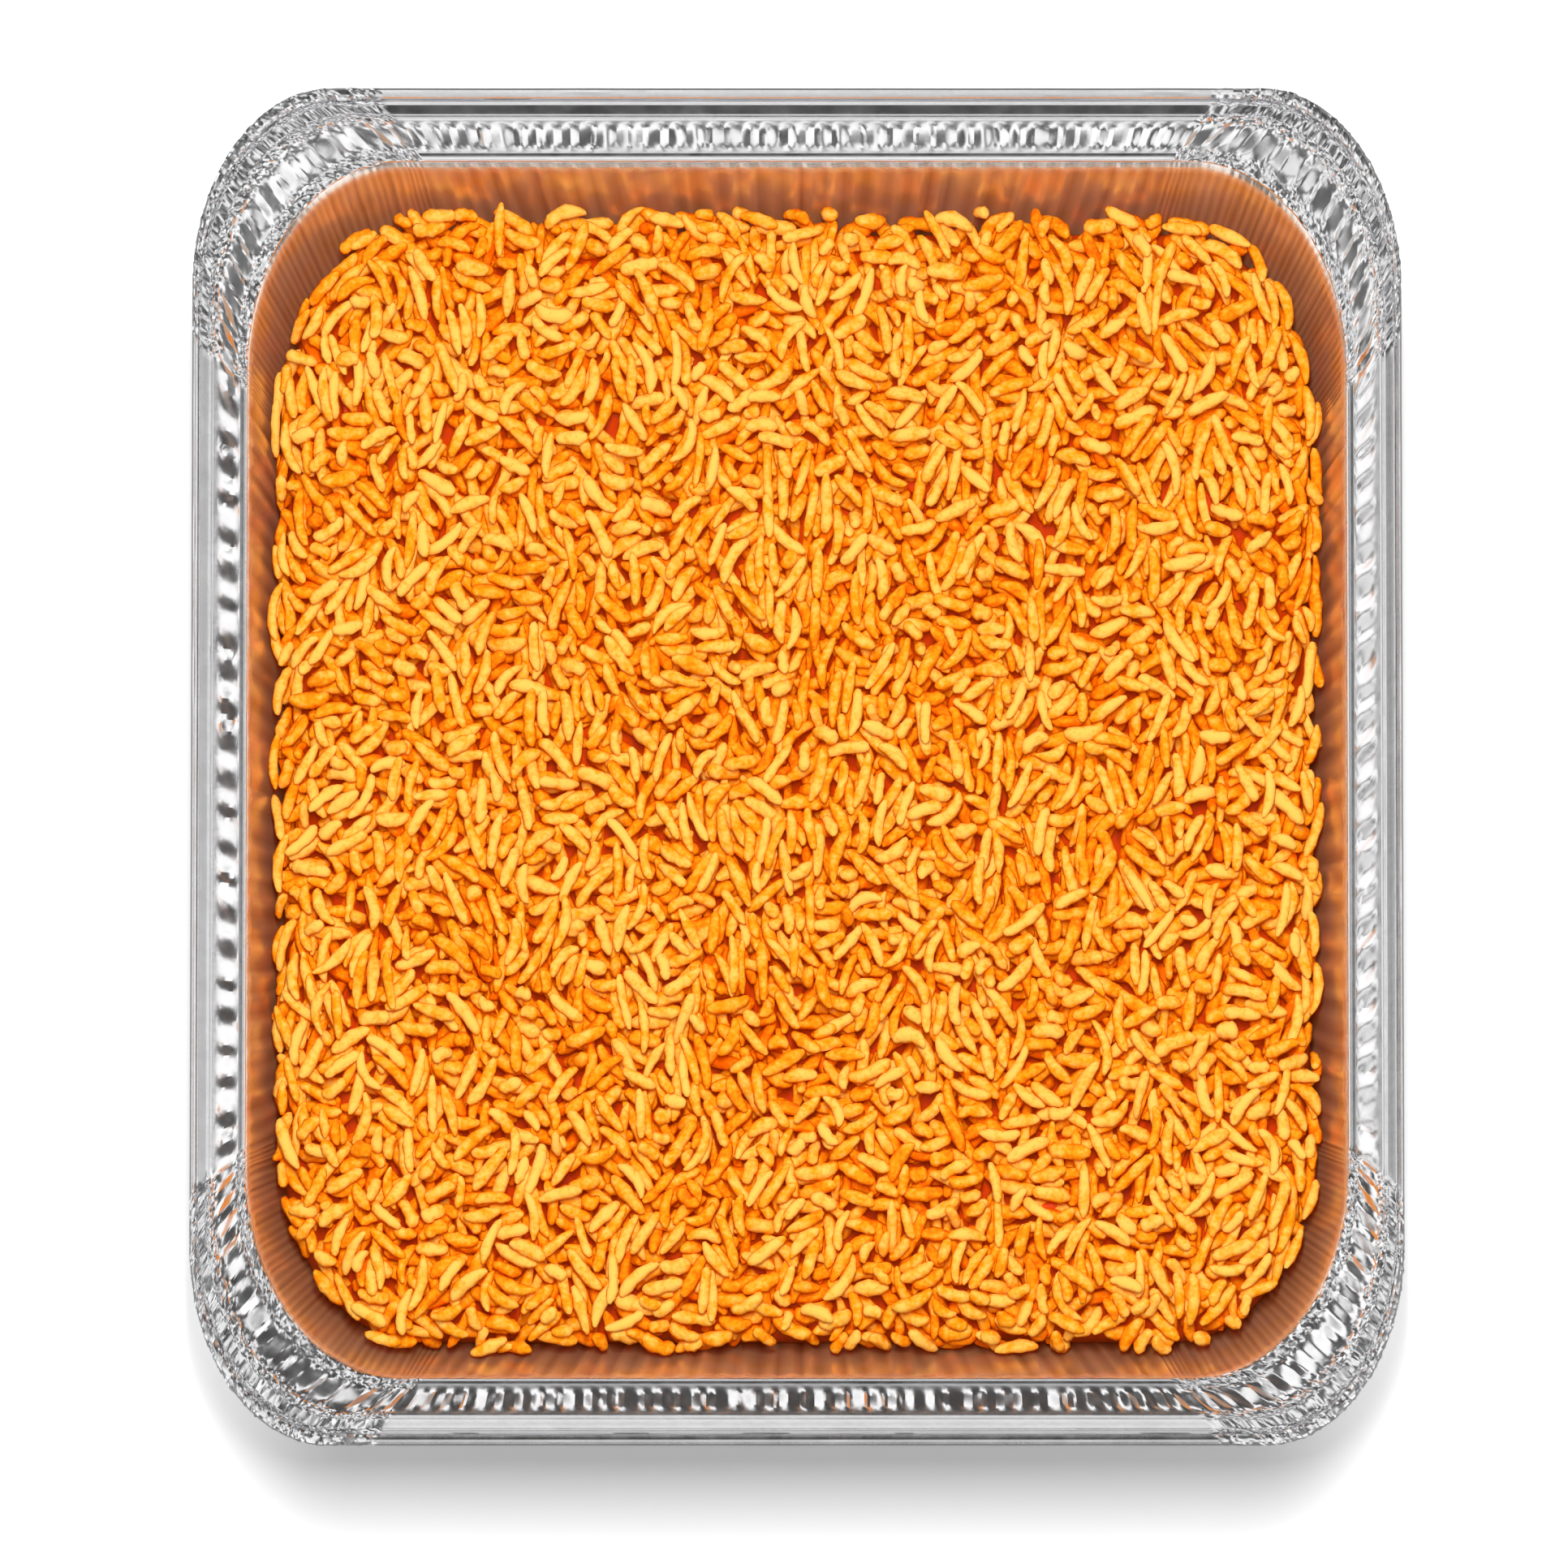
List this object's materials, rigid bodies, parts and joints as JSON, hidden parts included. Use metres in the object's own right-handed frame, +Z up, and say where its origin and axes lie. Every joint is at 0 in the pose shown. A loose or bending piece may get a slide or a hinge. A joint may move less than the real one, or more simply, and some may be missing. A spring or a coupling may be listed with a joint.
{
  "type": "foil tray meal",
  "caption": "Near-square pressed foil catering tray with rolled bead, fluted collar and wall, filled with orange long-grain rice.",
  "frame": {"origin": "middle of the tray's base, on the surface that it stands on", "axes": "+Z up out of the open tray, +Y along the rim's longer side, +X across it"},
  "size_m": [0.235, 0.267, 0.06],
  "materials": {
    "foil": "bright pressed foil, fluted and crimped at the corners",
    "orange_rice": "moist cooked grains with a soft oily sheen"
  },
  "bodies": {
    "root": {"foil_tray": "foil", "rice": "orange_rice"}
  },
  "joints": []
}
